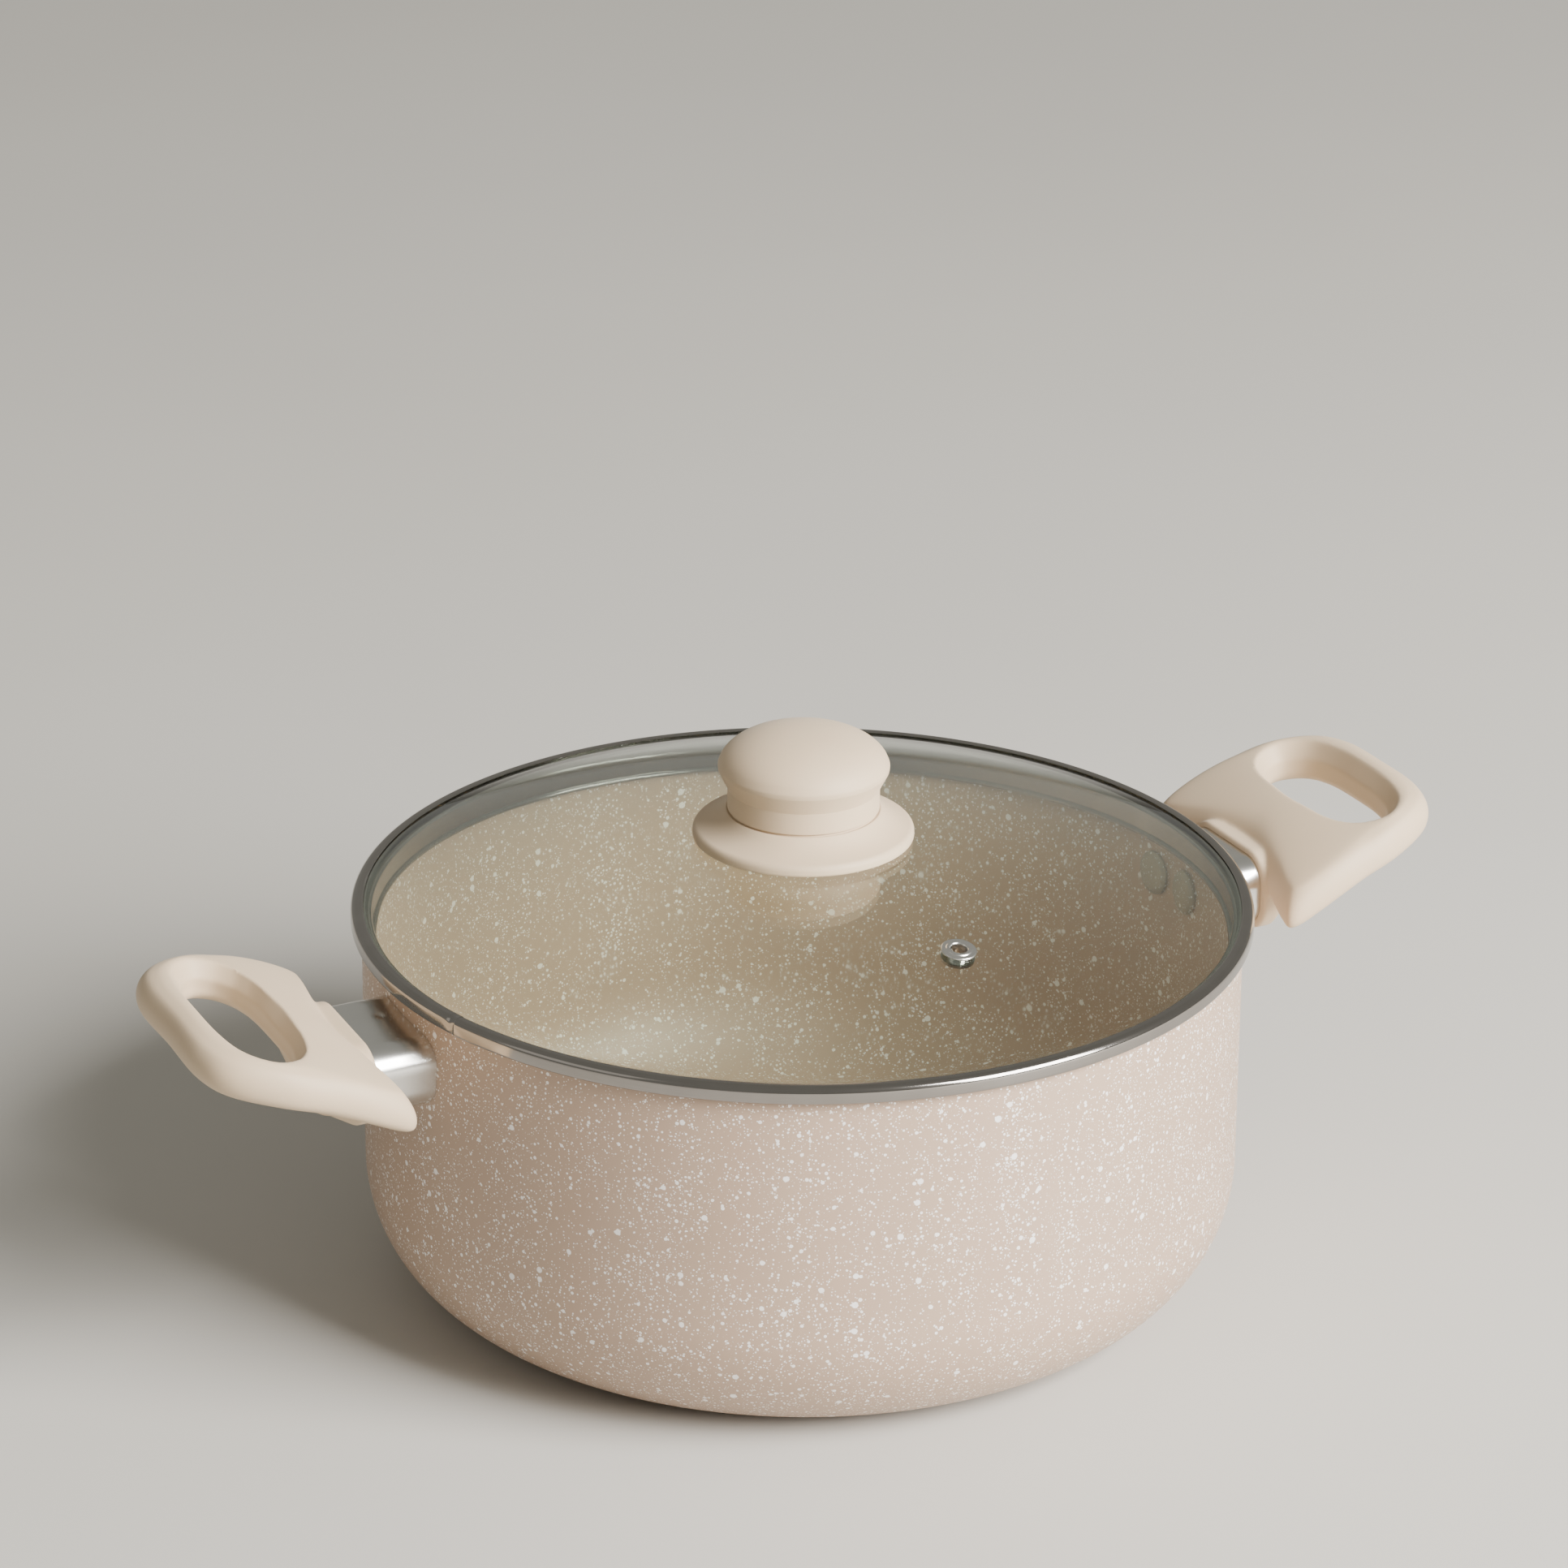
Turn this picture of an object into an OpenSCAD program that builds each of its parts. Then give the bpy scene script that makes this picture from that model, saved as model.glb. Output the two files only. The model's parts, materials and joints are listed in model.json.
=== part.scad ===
// Two-handled saucepan with a glass lid.
// Origin at the centre of the base, +Z up, handles along X. Millimetres.

/* [Pot] */
// Outside radius of the pot wall
pot_r = 122; // [100:1:160]
// Height of the pot, base to rim
pot_h = 108; // [90:1:160]
// Thickness of the wall
wall_t = 2.6; // [1.5:0.1:4]
// Thickness of the base
base_t = 3.6; // [2.5:0.1:6]
// Outside radius of the corner between base and wall
corner_r = 38; // [20:1:50]
// Rounding of the rim edges
rim_round = 0.6; // [0.3:0.1:0.7]

/* [Lid] */
// How far the band stands out past the pot wall
band_overhang = 3; // [2:0.1:5]
// Thickness of the band steel
band_t = 0.5; // [0.4:0.05:0.8]
// Width of the band lip over the glass
lip_w = 3.4; // [2.5:0.1:5]
// Depth of the band skirt inside the pot
skirt_h = 6; // [4:0.5:10]
// Gap between the band skirt and the pot wall
skirt_gap = 0.7; // [0.4:0.1:1.5]
// Thickness of the glass
glass_t = 4; // [3:0.1:5]
// Rise of the dome above the flat edge of the glass
dome_rise = 20.5; // [14:0.5:26]

/* [Vent] */
// Bore of the steam vent
vent_bore_r = 2.25; // [1.5:0.05:3]
// Radius of the eyelet flange
vent_flange_r = 5; // [4.2:0.1:7]
// Distance of the vent from the middle of the lid
vent_at = 76; // [50:1:90]
// Bearing of the vent, from +X
vent_turn = -85; // [-180:1:180]

/* [Knob] */
// Radius of the flared foot
foot_r = 30.6; // [27:0.1:36]
// Thickness of the foot at its edge
foot_edge = 2.7; // [2:0.1:4]
// Height of the foot where the neck stands on it
foot_h = 7.2; // [5:0.1:9]
// Radius of the neck
neck_r = 21; // [16:0.1:22]
// Height of the neck
neck_h = 6.4; // [4:0.1:10]
// Largest radius of the knob
cap_r = 23.7; // [22.5:0.1:27]
// Height of the slope under the cap
undercut_h = 5.4; // [3:0.1:8]
// Height of the dome of the cap
cap_dome_h = 11; // [8:0.1:14]
// Radius of the knob screw
knob_screw_r = 2; // [1.5:0.1:2.5]

/* [Handles] */
// Height of the middle of the sleeve above the base
sleeve_z = 92; // [76:1:96]
// Width of the steel sleeve
sleeve_w = 36; // [30:0.5:44]
// Height of the steel sleeve
sleeve_h = 20.5; // [18:0.5:24]
// Thickness of the sleeve steel
sleeve_t = 0.8; // [0.5:0.1:1.2]
// Distance from the pot wall to the handle collar
sleeve_reach = 16.5; // [14:0.5:30]
// Thickness of the collar at the sides of the sleeve
collar_t = 2.8; // [2:0.1:4]
// Thickness of the collar above and below the sleeve
collar_rim_t = 1.6; // [1.2:0.1:3]
// How deep the sleeve goes into the handle
sleeve_seat = 2.2; // [1.5:0.1:4]
// Length of the handle, collar to tip
handle_l = 53.5; // [48:0.5:58]
// Half width of the handle across the wings
wing_w = 41.5; // [38:0.5:48]
// Thickness of the handle loop
grip_t = 12; // [9:0.1:14]
// Height of the handle tip above the wings
grip_rise = 15.5; // [8:0.5:22]
// Twist of the left handle about its own axis, near side down, as it was assembled
left_twist = 5.5; // [0:0.5:6]
// Radius of the handle screw
handle_screw_r = 2; // [1.5:0.1:2.5]
// Radius of the rivet shanks
rivet_r = 3; // [2:0.1:3.5]
// Radius of the rivet heads
rivet_head_r = 6.2; // [5:0.1:7]
// Distance between the two rivets of a handle
rivet_pitch = 17; // [14:0.5:18]

/* [Hidden] */
$fn = 128;

coat = [0.80, 0.73, 0.65];
soft_touch = [0.86, 0.78, 0.70];
steel = [0.80, 0.80, 0.78];
brass = [0.78, 0.64, 0.34];
silicone = [0.90, 0.90, 0.88];
glass_tint = [0.75, 0.84, 0.79, 0.45];

fit = 0.05;          // clearance of a piece in its own hole
over = 1;            // how far a cut passes the faces it opens

// Pot
inner_r = pot_r - wall_t;

// Lid heights
band_r = pot_r + band_overhang;
band_bend = 1.2;       // outside radius of the bends in the band
bead_r = 0.7;          // rolled foot of the skirt
glass_edge_z = pot_h + band_t;
glass_edge_top = glass_edge_z + glass_t;
band_top = glass_edge_top + band_t;
glass_r = band_r - band_t - fit;
skirt_r = inner_r - skirt_gap;
glass_round = 1;       // rounding of the glass edge
flat_shown = 0.3;      // flat glass left inside the lip
dome_edge_r = band_r - lip_w - flat_shown;
dome_fn = 360;
dome_sphere_r = (dome_edge_r * dome_edge_r + dome_rise * dome_rise) / (2 * dome_rise);
dome_z = glass_edge_top + dome_rise - dome_sphere_r;
crown_z = glass_edge_top + dome_rise;
function dome_top(r) = dome_z + sqrt(dome_sphere_r * dome_sphere_r - r * r);

// Knob heights
seam_w = 0.9;          // shallow groove between the foot and the neck
foot_bottom = dome_top(foot_r);
neck_z = foot_bottom + foot_h + seam_w;
undercut_z = neck_z + neck_h;
equator_z = undercut_z + undercut_h;
foot_round = 0.8;      // softened top edge of the foot
foot_slope_in = 5;     // where the flare of the foot turns upwards
foot_slope_up = 2;
knob_hole_r = knob_screw_r + 1.2;
insert_r = 4.5;
insert_h = 11;
insert_skin = 1;       // brass left above the blind hole
screw_spare = 3;       // room above the tip of the knob screw
gasket_t = 1.2;
gasket_r = 9;
washer_t = 1;
washer_r = 8;
screw_head_r = 4;
screw_head_h = 2.4;
slot_l = 3.6;          // cross slot in a screw head
slot_w = 0.9;
slot_d = 0.8;
loose = 0.2;           // play of a washer on its screw
// The gasket bears on the underside of the dome with its outer edge
gasket_z = dome_z + sqrt(pow(dome_sphere_r - glass_t, 2) - gasket_r * gasket_r) - gasket_t;
knob_washer_z = gasket_z - washer_t;

// Vent
vent_tube_t = 0.6;
vent_roll_w = 1;       // turned-out foot of the eyelet, under the washer
vent_flange_t = 0.6;
vent_crest = 0.5;      // height of the cone round the hole
vent_mouth = 0.9;      // steel left round the hole at the top of the cone
vent_edge = 0.4;       // flat edge of the flange
vent_washer_t = 0.7;
vent_lean = asin(vent_at / dome_sphere_r);
vent_hole_r = vent_bore_r + vent_tube_t + fit;
vent_play = 0.1;       // between the dome and the flat washer under it
vent_foot_z = -glass_t - vent_play - vent_washer_t - vent_flange_t;

// Handle frame: u runs outwards from the pot axis, along +X for the right handle
collar_u = pot_r + sleeve_reach;
sleeve_end = collar_u + sleeve_seat;
tip_u = collar_u + handle_l;
socket_round = 7.5;
socket_w = sleeve_w + 2 * fit;
socket_h = sleeve_h + 2 * fit;
hub_w = socket_w + 2 * collar_t;
hub_h = socket_h + 2 * collar_rim_t;
hub_round = socket_round + collar_t;
collar_l = 10;         // length of the collar at full size, past the end of the tang
hub_end = collar_u + 19;  // where the collar has blended into the grip
hub_end_w = 0.7 * hub_w;
hub_end_h = 0.6 * grip_t;
hub_end_round = 2;
hub_end_l = 2;
hub_sink = 1;          // of the blended end below the middle of the grip
plate_t = 2;           // bracket plate on the wall
plate_gap = 0.5;       // between the plate and the inside of the sleeve
wall_bite = 8;         // how far inside the wall the pieces trimmed to it are started
tang_t = 3;
tang_w = 18;
tang_drop = 6.5;       // the tang runs under the tails of the rivets
tang_z = sleeve_z - tang_drop;
tang_l = 9.2;          // of the tang inside the handle
tang_end = collar_u + tang_l;
screw_wall = 0.9;      // plastic between the sleeve and the screw
screw_u = sleeve_end + handle_screw_r + screw_wall;
handle_head_r = 3.2;
handle_head_h = 1.6;
head_gap = 0.3;
washer_h = 0.6;
boss_wall = 1.5;
boss_r = handle_head_r + head_gap + boss_wall;
boss_drop = 1.6;       // of the boss below the collar
boss_z = sleeve_z - hub_h / 2 - boss_drop;
head_sink = 0.2;       // of the screw head into the boss
seat_z = boss_z + head_sink + handle_head_h + washer_h;

// Rivets: each one stands square to the wall
rivet_z = sleeve_z;
rivet_turn = asin(rivet_pitch / 2 / pot_r);
rivet_head_t = 1.6;
rivet_lift = 0.25;     // flat head over the hollow of the curved wall
rivet_tail_h = 1;
rivet_tail_w = 1.2;
rivet_tail_r = rivet_r + rivet_tail_w;

// Grip: mid height falls towards the pot as a parabola, with a little crown across
wing_z = sleeve_z + 2.7;
crown = 2.8;
function grip_z(u, s) =
  let (k = (tip_u - u) / (tip_u - collar_u))
  wing_z + grip_rise * (1 - k * k) + crown * (1 - pow(s / wing_w, 2));

hub_end_z = grip_z(hub_end, 0) - hub_sink;

// Half outlines from tip to pot end, as shares of length (from the tip) and of half width
outer_half = [
  [0, 0], [0.005, 0.45], [0.105, 0.71], [0.365, 0.885], [0.66, 0.945],
  [0.90, 0.96], [1.04, 0.925], [1.045, 0.80], [0.985, 0.47], [0.93, 0]
];
hole_half = [
  [0.213, 0], [0.218, 0.30], [0.258, 0.53], [0.35, 0.664], [0.45, 0.645],
  [0.52, 0.545], [0.557, 0.42], [0.575, 0.305], [0.583, 0.155], [0.583, 0]
];
last = len(outer_half) - 1;
function whole(half) = concat(half, [for (i = [last - 1:-1:1]) [half[i].x, -half[i].y]]);
function placed(p) = [tip_u - p.x * handle_l, p.y * wing_w];
function spline(p, n, t) =
  let (i = floor(t), f = t - i, a = p[(i + n - 1) % n], b = p[i % n], c = p[(i + 1) % n], d = p[(i + 2) % n])
  0.5 * (2 * b + (c - a) * f + (2 * a - 5 * b + 4 * c - d) * f * f + (3 * b - a - 3 * c + d) * f * f * f);
knots = 2 * last;
ring_n = 54;
section_n = 14;
section_power = 0.7;
function bend(v) = sign(v) * pow(abs(v), section_power);
function grip_point(i, j) =
  let (
    t = i * knots / ring_n,
    o = placed(spline(whole(outer_half), knots, t)),
    h = placed(spline(whole(hole_half), knots, t)),
    q = j * 360 / section_n,
    w = 0.5 + 0.5 * bend(cos(q)),
    p = h + (o - h) * w
  )
  [p.x, p.y, grip_z(p.x, p.y) + grip_t / 2 * bend(sin(q))];

// Pot ------------------------------------------------------------------------------------

module pot_profile(r, h, c) {
  intersection() {
    union() {
      square([r - c, h]);
      translate([0, c]) square([r, h - c]);
      translate([r - c, c]) circle(c);
    }
    square([r, h]);
  }
}

module pan_body() {
  color(coat)
  difference() {
    rotate_extrude() {
      difference() {
        pot_profile(pot_r, pot_h - rim_round, corner_r);
        translate([0, base_t]) pot_profile(inner_r, pot_h, corner_r - wall_t);
      }
      translate([inner_r + rim_round, pot_h - 3 * rim_round])
        square([wall_t - 2 * rim_round, 3 * rim_round]);
      for (r = [inner_r + rim_round, pot_r - rim_round])
        translate([r, pot_h - rim_round]) circle(rim_round);
    }
    for (left = [false, true]) on_side(left) rivet_holes();
  }
}

// Handle pieces: on_side places them, and the pot wall stays where it is ------------------

// A piece drawn along +X, for the right side, or turned over to the left with its twist
module on_side(left) {
  rotate(left ? 180 : 0)
    translate([0, 0, sleeve_z]) rotate([left ? -left_twist : 0, 0, 0]) translate([0, 0, -sleeve_z])
      children();
}

module at_rivets() {
  for (side = [-1, 1])
    translate([0, 0, rivet_z]) rotate(side * rivet_turn) rotate([0, 90, 0]) children();
}

module rivet_holes() {
  at_rivets() translate([0, 0, inner_r - wall_t]) cylinder(r = rivet_r, h = 2 * wall_t + 2 * plate_t);
}

module rounded_bar(u0, u1, w, h, round, z) {
  translate([u0, 0, z])
    rotate([90, 0, 90])
      linear_extrude(u1 - u0) rounded_rect(w, h, round);
}

module rounded_rect(w, h, round) {
  square([w - 2 * round, h], center = true);
  square([w, h - 2 * round], center = true);
  for (x = [-1, 1], y = [-1, 1])
    translate([x * (w / 2 - round), y * (h / 2 - round)]) circle(round);
}

module rivets(left) {
  color(coat)
  on_side(left) at_rivets() {
    translate([0, 0, inner_r - rivet_lift - rivet_head_t]) cylinder(r = rivet_head_r, h = rivet_head_t);
    translate([0, 0, inner_r - rivet_lift - rivet_head_t / 2])
      cylinder(r = rivet_r, h = wall_t + plate_t + 2 * rivet_lift + (rivet_head_t + rivet_tail_h) / 2);
    translate([0, 0, pot_r + plate_t + rivet_lift]) cylinder(r = rivet_tail_r, h = rivet_tail_h);
  }
}

module bracket(left) {
  color(steel)
  difference() {
    union() {
      intersection() {
        difference() {
          cylinder(r = pot_r + plate_t, h = pot_h);
          translate([0, 0, -over]) cylinder(r = pot_r + fit, h = pot_h + 2 * over);
        }
        on_side(left)
          rounded_bar(pot_r - wall_bite, pot_r + 2 * plate_t, sleeve_w - 2 * sleeve_t - 2 * plate_gap,
                      sleeve_h - 2 * sleeve_t - 2 * plate_gap, socket_round - sleeve_t - plate_gap, sleeve_z);
      }
      on_side(left) translate([pot_r + plate_t / 2, -tang_w / 2, tang_z - tang_t / 2])
        cube([tang_end - pot_r - plate_t / 2, tang_w, tang_t]);
    }
    on_side(left) rivet_holes();
    on_side(left) translate([screw_u, 0, tang_z - tang_t]) cylinder(r = handle_screw_r, h = 2 * tang_t);
  }
}

module flame_guard(left) {
  color(steel)
  difference() {
    on_side(left) difference() {
      rounded_bar(pot_r - wall_bite, sleeve_end, sleeve_w, sleeve_h, socket_round, sleeve_z);
      rounded_bar(pot_r - wall_bite - over, sleeve_end + over, sleeve_w - 2 * sleeve_t,
                  sleeve_h - 2 * sleeve_t, socket_round - sleeve_t, sleeve_z);
    }
    cylinder(r = pot_r + fit, h = 2 * pot_h);
  }
}

module grip_loop() {
  polyhedron(
    points = [for (i = [0:ring_n - 1], j = [0:section_n - 1]) grip_point(i, j)],
    faces = [for (i = [0:ring_n - 1], j = [0:section_n - 1], half = [0, 1])
      let (
        i2 = (i + 1) % ring_n, j2 = (j + 1) % section_n,
        a = i * section_n + j, b = i2 * section_n + j, c = i2 * section_n + j2, d = i * section_n + j2
      )
      half == 0 ? [a, c, b] : [a, d, c]]
  );
}

module handle(left) {
  color(soft_touch)
  on_side(left) difference() {
    union() {
      grip_loop();
      hull() {
        rounded_bar(collar_u, collar_u + collar_l, hub_w, hub_h, hub_round, sleeve_z, $fn = 32);
        rounded_bar(hub_end, hub_end + hub_end_l, hub_end_w, hub_end_h, hub_end_round, hub_end_z, $fn = 32);
      }
      translate([screw_u, 0, boss_z]) cylinder(r = boss_r, h = hub_h / 2);
    }
    rounded_bar(collar_u - over, sleeve_end + fit, socket_w, socket_h, socket_round + fit, sleeve_z);
    translate([collar_u - over, -tang_w / 2 - fit, tang_z - tang_t / 2 - fit])
      cube([tang_l + over + fit, tang_w + 2 * fit, tang_t + 2 * fit]);
    translate([screw_u, 0, boss_z - over])
      cylinder(r = handle_head_r + head_gap, h = seat_z - boss_z + over);
    translate([screw_u, 0, boss_z]) cylinder(r = handle_screw_r + fit, h = tang_z - boss_z + tang_t);
  }
}

module handle_screw(left) {
  color(steel)
  on_side(left) difference() {
    translate([screw_u, 0, seat_z - washer_h]) {
      translate([0, 0, -handle_head_h]) cylinder(r = handle_head_r, h = handle_head_h);
      cylinder(r = handle_screw_r, h = tang_z - seat_z + washer_h + tang_t / 2);
    }
    cross_slot(screw_u, seat_z - washer_h - handle_head_h);
  }
}

module cross_slot(u, z) {
  for (turn = [0, 90])
    translate([u, 0, z]) rotate(turn) cube([slot_l, slot_w, 2 * slot_d], center = true);
}

module flat_ring(r, bore, h) {
  difference() {
    cylinder(r = r, h = h);
    translate([0, 0, -over]) cylinder(r = bore, h = h + 2 * over);
  }
}

module handle_washer(left) {
  color(steel)
  on_side(left) translate([screw_u, 0, seat_z - washer_h])
    flat_ring(handle_head_r + head_gap / 2, handle_screw_r + loose, washer_h);
}

// Lid ------------------------------------------------------------------------------------

module lid_glass() {
  color(glass_tint)
  difference() {
    rotate_extrude() {
      translate([dome_edge_r, glass_edge_z]) {
        square([glass_r - dome_edge_r - glass_round, glass_t]);
        translate([0, glass_round]) square([glass_r - dome_edge_r, glass_t - 2 * glass_round]);
        for (z = [glass_round, glass_t - glass_round])
          translate([glass_r - dome_edge_r - glass_round, z]) circle(glass_round);
      }
      intersection() {
        translate([0, dome_z]) difference() {
          circle(dome_sphere_r, $fn = dome_fn);
          circle(dome_sphere_r - glass_t, $fn = dome_fn);
        }
        translate([0, glass_edge_z]) square([dome_edge_r, dome_rise + glass_t + over]);
      }
    }
    translate([0, 0, gasket_z]) cylinder(r = knob_hole_r, h = 2 * glass_t);
    at_vent() translate([0, 0, -2 * glass_t]) cylinder(r = vent_hole_r, h = 3 * glass_t);
  }
}

module lid_band() {
  color(steel)
  rotate_extrude() {
    // flange under the glass, from the skirt to the wall of the band
    translate([skirt_r - band_t, pot_h]) square([band_r - skirt_r + band_t - band_bend, band_t]);
    // wall and lip with rounded bends
    translate([band_r - band_t, pot_h + band_bend]) square([band_t, band_top - pot_h - 2 * band_bend]);
    translate([band_r - lip_w, band_top - band_t]) square([lip_w - band_bend, band_t]);
    translate([band_r - band_bend, band_top - band_bend]) bend_quarter(band_bend, 0);
    translate([band_r - band_bend, pot_h + band_bend]) bend_quarter(band_bend, -90);
    // skirt inside the pot, with a rolled foot
    translate([skirt_r - band_t, pot_h - skirt_h]) square([band_t, skirt_h + band_t]);
    translate([skirt_r - bead_r, pot_h - skirt_h]) circle(bead_r);
  }
}

module bend_quarter(r, turn) {
  rotate(turn) intersection() {
    difference() {
      circle(r);
      circle(r - band_t);
    }
    square(r);
  }
}

module at_vent() {
  rotate(vent_turn)
    translate([0, 0, dome_z])
      rotate([0, vent_lean, 0])
        translate([0, 0, dome_sphere_r]) children();
}

module vent_eyelet() {
  color(steel)
  at_vent() difference() {
    union() {
      cylinder(r = vent_flange_r, h = vent_flange_t);
      translate([0, 0, vent_flange_t])
        cylinder(r1 = vent_flange_r - vent_edge, r2 = vent_bore_r + vent_mouth, h = vent_crest);
      translate([0, 0, vent_foot_z])
        cylinder(r = vent_bore_r + vent_tube_t, h = vent_flange_t - vent_foot_z);
      translate([0, 0, vent_foot_z]) cylinder(r = vent_bore_r + vent_tube_t + vent_roll_w, h = vent_flange_t);
    }
    translate([0, 0, vent_foot_z - over])
      cylinder(r = vent_bore_r, h = vent_flange_t + vent_crest - vent_foot_z + 2 * over);
  }
}

module vent_washer() {
  color(steel)
  at_vent() translate([0, 0, vent_foot_z + vent_flange_t])
    flat_ring(vent_flange_r - vent_edge, vent_hole_r, vent_washer_t);
}

// Knob -----------------------------------------------------------------------------------

module knob_foot() {
  color(soft_touch)
  difference() {
    rotate_extrude() {
      foot_top = foot_bottom + foot_edge;
      polygon([
        [0, foot_bottom - over], [foot_r, foot_bottom - over], [foot_r, foot_top - foot_round],
        [foot_r - foot_round, foot_top], [foot_r - foot_slope_in, foot_top + foot_slope_up],
        [neck_r + seam_w, neck_z - seam_w / 2], [neck_r, neck_z], [0, neck_z]
      ]);
    }
    translate([0, 0, dome_z]) sphere(dome_sphere_r, $fn = dome_fn);
    translate([0, 0, gasket_z]) cylinder(r = knob_screw_r + fit, h = neck_z);
  }
}

module knob_cap() {
  color(soft_touch)
  difference() {
    rotate_extrude() {
      translate([0, neck_z]) square([neck_r, neck_h]);
      polygon([[0, undercut_z], [neck_r, undercut_z], [cap_r, equator_z], [0, equator_z]]);
      intersection() {
        translate([0, equator_z]) scale([1, cap_dome_h / cap_r]) circle(cap_r);
        translate([0, equator_z]) square([cap_r, cap_dome_h]);
      }
    }
    translate([0, 0, neck_z - over]) cylinder(r = insert_r, h = insert_h + over);
  }
}

module knob_insert() {
  color(brass)
  translate([0, 0, neck_z]) difference() {
    cylinder(r = insert_r, h = insert_h);
    translate([0, 0, -over]) cylinder(r = knob_screw_r, h = insert_h - insert_skin + over);
  }
}

module knob_screw() {
  color(steel)
  translate([0, 0, knob_washer_z]) difference() {
    union() {
      translate([0, 0, -screw_head_h]) cylinder(r = screw_head_r, h = screw_head_h);
      cylinder(r = knob_screw_r, h = neck_z + insert_h - insert_skin - screw_spare - knob_washer_z);
    }
    cross_slot(0, -screw_head_h);
  }
}

module knob_washer() {
  color(steel)
  translate([0, 0, knob_washer_z]) flat_ring(washer_r, knob_screw_r + loose, washer_t);
}

module knob_gasket() {
  color(silicone)
  translate([0, 0, gasket_z]) flat_ring(gasket_r, knob_screw_r + loose, gasket_t);
}

pan_body();
rivets(true);  // left_rivets
rivets(false);  // right_rivets
bracket(true);  // left_bracket
bracket(false);  // right_bracket
flame_guard(true);  // left_flame_guard
flame_guard(false);  // right_flame_guard
handle(true);  // left_handle
handle(false);  // right_handle
handle_screw(true);  // left_handle_screw
handle_screw(false);  // right_handle_screw
handle_washer(true);  // left_handle_washer
handle_washer(false);  // right_handle_washer
lid_glass();
lid_band();
vent_eyelet();
vent_washer();
knob_foot();
knob_cap();
knob_insert();
knob_screw();
knob_washer();
knob_gasket();
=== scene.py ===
"""Looks of a two-handled saucepan with a glass lid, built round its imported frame. Metres, +Z up."""

import json
import math

import bmesh
import bpy
from mathutils import Matrix, Vector


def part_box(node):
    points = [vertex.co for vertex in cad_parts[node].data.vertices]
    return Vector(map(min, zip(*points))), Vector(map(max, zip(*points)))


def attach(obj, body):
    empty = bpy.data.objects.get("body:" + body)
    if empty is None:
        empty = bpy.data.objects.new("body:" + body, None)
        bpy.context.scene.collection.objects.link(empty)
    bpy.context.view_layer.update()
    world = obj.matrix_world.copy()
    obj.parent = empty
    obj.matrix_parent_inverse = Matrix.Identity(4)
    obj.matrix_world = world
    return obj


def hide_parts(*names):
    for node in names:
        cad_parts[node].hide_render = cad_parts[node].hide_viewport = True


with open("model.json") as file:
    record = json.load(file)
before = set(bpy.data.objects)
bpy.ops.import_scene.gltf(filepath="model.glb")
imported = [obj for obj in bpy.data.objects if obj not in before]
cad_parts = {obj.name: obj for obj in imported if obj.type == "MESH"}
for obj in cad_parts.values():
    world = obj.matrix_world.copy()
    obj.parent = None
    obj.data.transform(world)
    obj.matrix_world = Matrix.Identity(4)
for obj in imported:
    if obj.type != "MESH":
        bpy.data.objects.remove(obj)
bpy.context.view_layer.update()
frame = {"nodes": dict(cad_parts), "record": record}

MM = 0.001
TAU = 2 * math.pi
ON_AXIS = 1e-6
SAME_POINT = 1e-5
NEARLY_STRAIGHT = 1e-4


def top_of(node):
    """Highest corner of a CAD node, in millimetres."""
    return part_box(node)[1] / MM


def foot_of(node):
    """Lowest corner of a CAD node, in millimetres."""
    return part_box(node)[0] / MM


# Sizes, millimetres. Overall sizes come from the frame, thicknesses are the maker's.
POT_R = top_of("pan_body").x
POT_H = top_of("pan_body").z
WALL = 2.6
BASE = 3.6
CORNER_R = 38.0
RIM_ROUND = 0.9
INNER_R = POT_R - WALL
RECESS_R = 62.0
RECESS = 0.5
BASE_RING_R = 63.5

BAND_R = top_of("lid_band").x
BAND_TOP = top_of("lid_band").z
BAND_FOOT = foot_of("lid_band").z
STEEL = 0.5
LIP_W = 3.4
SKIRT_R = INNER_R - 0.7
GLASS_TOP = BAND_TOP - STEEL
GLASS_FOOT = foot_of("lid_glass").z
GLASS = GLASS_TOP - GLASS_FOOT
GLASS_R = BAND_R - STEEL - 0.05
DOME_EDGE_R = BAND_R - LIP_W - 0.3
CROWN_Z = top_of("lid_glass").z
DOME_RISE = CROWN_Z - GLASS_TOP
SPHERE_R = (DOME_EDGE_R**2 + DOME_RISE**2) / (2 * DOME_RISE)
SPHERE_Z = CROWN_Z - SPHERE_R

VENT_R = 76.0
VENT_TURN = math.radians(-85)
VENT_LEAN = math.asin(VENT_R / SPHERE_R)
VENT_BORE = 2.25
VENT_FLANGE = 5.0
VENT_HOLE = VENT_BORE + 0.65
VENT_TUBE = VENT_BORE + 0.6
VENT_MOUTH = 1.1
VENT_PLATE = 0.75
VENT_FOOT = -GLASS - 1.4

FOOT_R = top_of("knob_foot").x
CAP_R = top_of("knob_cap").x
NECK_R = 21.0
KNOB_TOP = top_of("knob_cap").z
NECK_Z = foot_of("knob_cap").z
UNDERCUT_Z = NECK_Z + 6.4
EQUATOR_Z = UNDERCUT_Z + 5.4
KNOB_HOLE = 3.2
KNOB_BORE = 3.0
INSERT_R = 4.5
INSERT_TOP = NECK_Z + 11

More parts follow.
